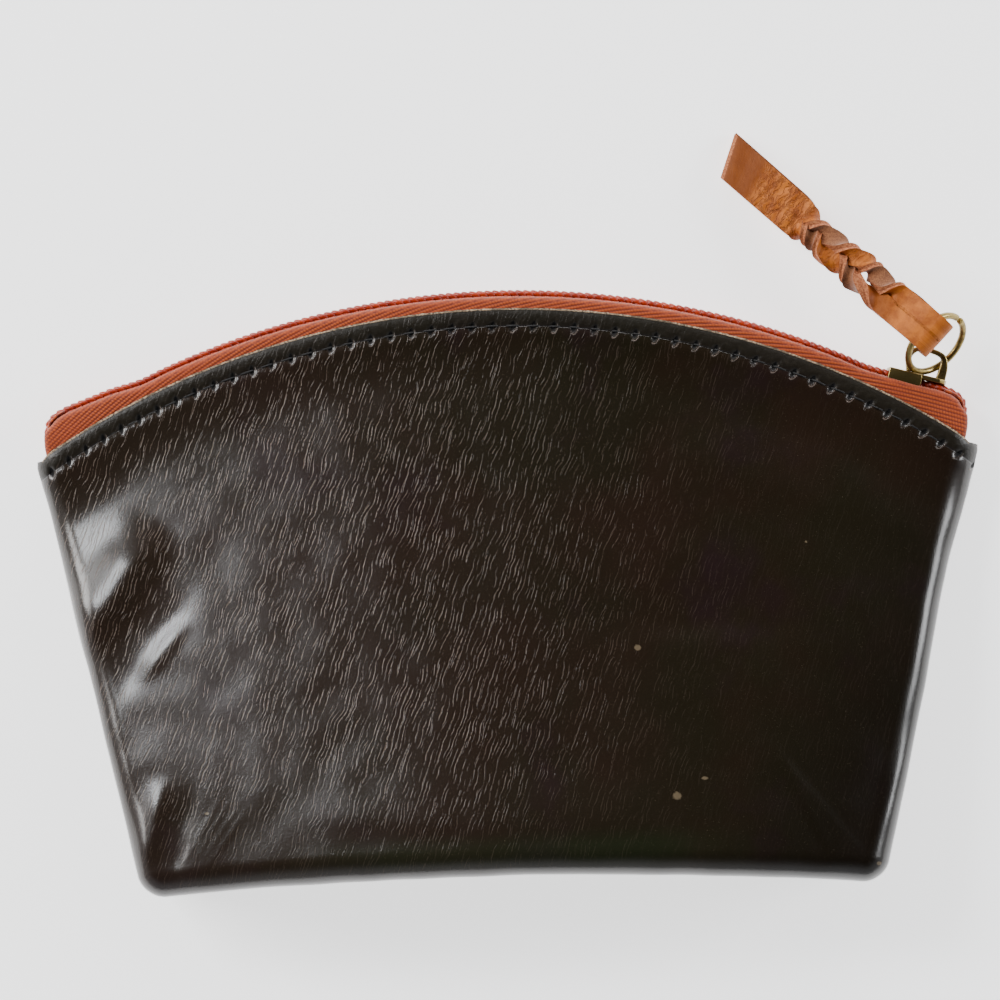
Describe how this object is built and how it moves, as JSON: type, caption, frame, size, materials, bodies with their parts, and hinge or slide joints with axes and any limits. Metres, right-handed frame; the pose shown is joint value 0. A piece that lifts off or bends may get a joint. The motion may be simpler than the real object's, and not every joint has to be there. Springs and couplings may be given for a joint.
{
  "type": "zippered pouch",
  "caption": "Boxed leather pouch with an arched coil zip, metal slider and jump ring, and a twisted leather pull tab.",
  "frame": {"origin": "on the outside of the back panel, which lies on the table, in the middle of its width", "axes": "+X along the zip's width, +Y from the base towards the zip, +Z from the back panel to the front"},
  "size_m": [0.1648, 0.1294, 0.0314],
  "materials": {
    "dark_leather": "glossy crinkled black-brown leather",
    "lining": "plain woven lining",
    "zip_tape": "herringbone woven tape",
    "zip_coil": "satin nylon coil",
    "orange_thread": "twisted thread",
    "black_thread": "waxed thread",
    "antique_brass": "darkened, rubbed bright on its edges",
    "tan_leather": "natural vegetable-tanned leather"
  },
  "bodies": {
    "pouch": {"back_panel": "dark_leather", "front_panel": "dark_leather", "front_panel_fold": "dark_leather", "back_lining": "lining", "front_lining": "lining", "back_tape": "zip_tape", "back_coil": "zip_coil", "back_coil_cord": "orange_thread", "back_coil_thread": "orange_thread", "zip_end_left": "zip_tape", "zip_end_right": "zip_tape", "back_topstitch": "black_thread", "side_seam_thread_left": "black_thread", "side_seam_thread_right": "black_thread", "base_seam_thread": "black_thread"},
    "front_lip": {"front_panel_dome": "dark_leather", "front_lining_dome": "lining", "front_tape": "zip_tape", "front_coil": "zip_coil", "front_coil_cord": "orange_thread", "front_coil_thread": "orange_thread", "front_topstitch": "black_thread"},
    "slider": {"slider_body": "antique_brass", "slider_crown": "antique_brass"},
    "ring": {"jump_ring": "antique_brass"},
    "tab": {"pull_tab": "tan_leather"}
  },
  "joints": [
    {"name": "slider_travel", "type": "hinge", "parent": "pouch", "child": "slider", "pos_m": [0, -0.104, 0.0053], "axis": [0, 0, 1], "range_deg": [0, 55.3]},
    {"name": "mouth_open", "type": "hinge", "parent": "pouch", "child": "front_lip", "pos_m": [0, 0.026, 0.007], "axis": [1, 0, 0], "range_deg": [0, 40], "deforming": ["front_panel_fold", "front_tape", "front_coil", "front_coil_cord", "front_coil_thread"]},
    {"name": "ring_swing", "type": "hinge", "parent": "slider", "child": "ring", "pos_m": [0.07468, 0.03701, 0.0053], "axis": [0.9228, -0.3853, 0], "range_deg": [-70, 0]},
    {"name": "tab_swing", "type": "hinge", "parent": "ring", "child": "tab", "pos_m": [0.07348, 0.04428, 0.0134], "axis": [0.7501, 0.6613, 0], "range_deg": [-55, 75]}
  ],
  "couplings": [
    {"joint": "mouth_open", "follows": "slider_travel", "ratio": 0.7233}
  ]
}
